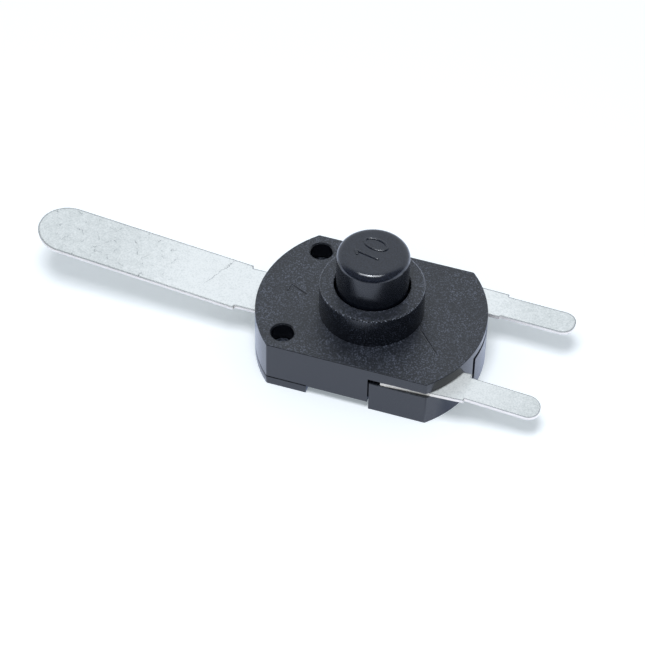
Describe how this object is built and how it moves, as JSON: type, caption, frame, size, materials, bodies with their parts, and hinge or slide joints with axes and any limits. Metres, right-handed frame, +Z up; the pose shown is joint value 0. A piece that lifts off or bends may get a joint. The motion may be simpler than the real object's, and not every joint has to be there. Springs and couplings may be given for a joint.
{
  "type": "micro push-button switch",
  "caption": "Small latching push-button switch with a round-ended black body, a collar, a domed-edge button and flat tinned blade terminals, as used in torches.",
  "frame": {"origin": "on the button's axis, at the underside of the base cover", "axes": "+Z up along the button's axis, +X towards the pair of short terminals, -X along the long terminal, -Y the flat side that faces the viewer in the picture"},
  "size_m": [0.0403, 0.012, 0.0098],
  "materials": {
    "black_plastic": "fine spark-eroded grain",
    "button_plastic": "smooth, slightly glossy",
    "tinned_steel": "bright tin plate with fine scratches",
    "nylon": "natural",
    "contact_brass": "stamped",
    "spring_steel": "drawn wire"
  },
  "bodies": {
    "case": {"housing": "black_plastic", "base_cover": "black_plastic", "front_terminal": "tinned_steel", "rear_terminal": "tinned_steel", "long_terminal": "tinned_steel", "return_spring": "spring_steel"},
    "plunger": {"button": "button_plastic"},
    "rotor": {"ratchet": "nylon", "moving_contact": "contact_brass"}
  },
  "joints": [
    {"name": "button_press", "type": "slide", "parent": "case", "child": "plunger", "axis": [0, 0, -1], "range_m": [0, 0.0015], "stiffness_N_per_m": 400, "deforming": ["return_spring"]},
    {"name": "ratchet_turn", "type": "hinge", "parent": "case", "child": "rotor", "pos_m": [0, 0, 0], "axis": [0, 0, 1], "range_deg": [0, 60]}
  ],
  "couplings": [
    {"joint": "ratchet_turn", "follows": "button_press", "rad_per_m": 698.1}
  ]
}
